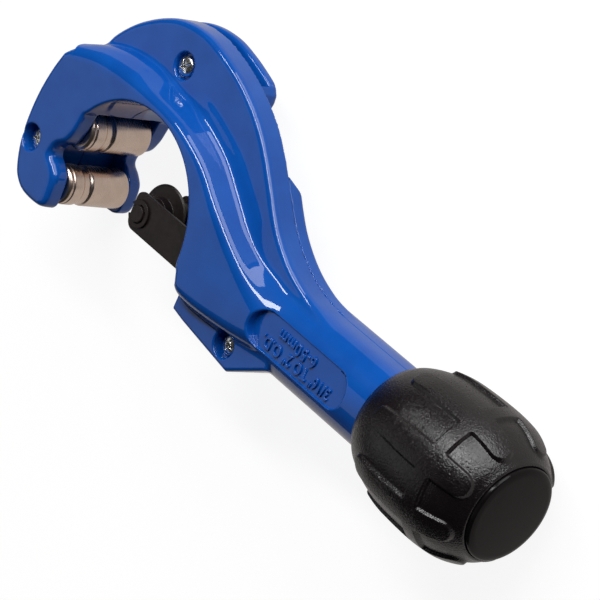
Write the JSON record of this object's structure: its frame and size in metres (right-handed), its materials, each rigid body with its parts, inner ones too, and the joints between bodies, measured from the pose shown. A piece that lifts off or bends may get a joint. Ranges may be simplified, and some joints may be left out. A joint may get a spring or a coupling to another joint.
{
  "type": "pipe cutter",
  "caption": "Screw-feed pipe cutter: C-shaped clamshell frame with guide rollers, a sliding fork carrying the cutter wheel, a fold-out deburring blade and a ribbed turning grip.",
  "frame": {"origin": "centre of the C-shaped pipe opening, on the joint plane of the two frame halves", "axes": "+X along the feed axis toward the grip, +Y toward the spine of the C, +Z toward the side the frame screws are driven from"},
  "size_m": [0.2042, 0.0761, 0.043],
  "materials": {
    "frame_paint": "die-cast body with a glossy blue coating",
    "zinc_hardware": "bright zinc plate",
    "roller_steel": "satin nickel over turned steel",
    "pin_steel": "turned steel",
    "black_steel": "black oxide",
    "blade_steel": "ground steel",
    "bronze": "machined bronze",
    "grip_plastic": "fine pebble texture",
    "cap_plastic": "semi-gloss"
  },
  "bodies": {
    "frame": {"frame_half_front": "frame_paint", "frame_half_rear": "frame_paint", "frame_screws": "zinc_hardware", "upper_roller_pin": "pin_steel", "lower_roller_pin": "pin_steel", "feed_bush": "bronze", "blade_sleeve": "pin_steel", "blade_spring": "pin_steel"},
    "upper_guide": {"upper_roller": "roller_steel"},
    "lower_guide": {"lower_roller": "roller_steel"},
    "fork": {"wheel_fork": "black_steel", "wheel_pin": "black_steel", "pin_clip": "black_steel", "wheel_spacers": "black_steel", "feed_nut": "bronze", "nut_rivets": "pin_steel"},
    "wheel": {"cutter_wheel": "black_steel"},
    "grip": {"grip_body": "grip_plastic", "grip_cap": "cap_plastic", "grip_screw": "zinc_hardware", "grip_washer": "zinc_hardware", "feed_screw": "pin_steel", "thrust_washer": "pin_steel"},
    "blade": {"deburring_blade": "blade_steel"}
  },
  "joints": [
    {"name": "grip_turn", "type": "hinge", "parent": "frame", "child": "grip", "pos_m": [0.13, 0, 0], "axis": [1, 0, 0], "range_deg": [-5760, 3690]},
    {"name": "fork_slide", "type": "slide", "parent": "frame", "child": "fork", "axis": [-1, 0, 0], "range_m": [-0.032, 0.0205]},
    {"name": "wheel_spin", "type": "hinge", "parent": "fork", "child": "wheel", "pos_m": [0.0023, 0, 0], "axis": [0, 0, 1], "continuous": true},
    {"name": "upper_roller_spin", "type": "hinge", "parent": "frame", "child": "upper_guide", "pos_m": [-0.031, 0.0088, 0], "axis": [0, 0, 1], "continuous": true},
    {"name": "lower_roller_spin", "type": "hinge", "parent": "frame", "child": "lower_guide", "pos_m": [-0.031, -0.0088, 0], "axis": [0, 0, 1], "continuous": true},
    {"name": "blade_fold", "type": "hinge", "parent": "frame", "child": "blade", "pos_m": [-0.0057, 0.043, 0], "axis": [0, 0, 1], "range_deg": [0, 120]}
  ],
  "couplings": [
    {"joint": "fork_slide", "follows": "grip_turn", "m_per_rad": 0.00031831}
  ]
}
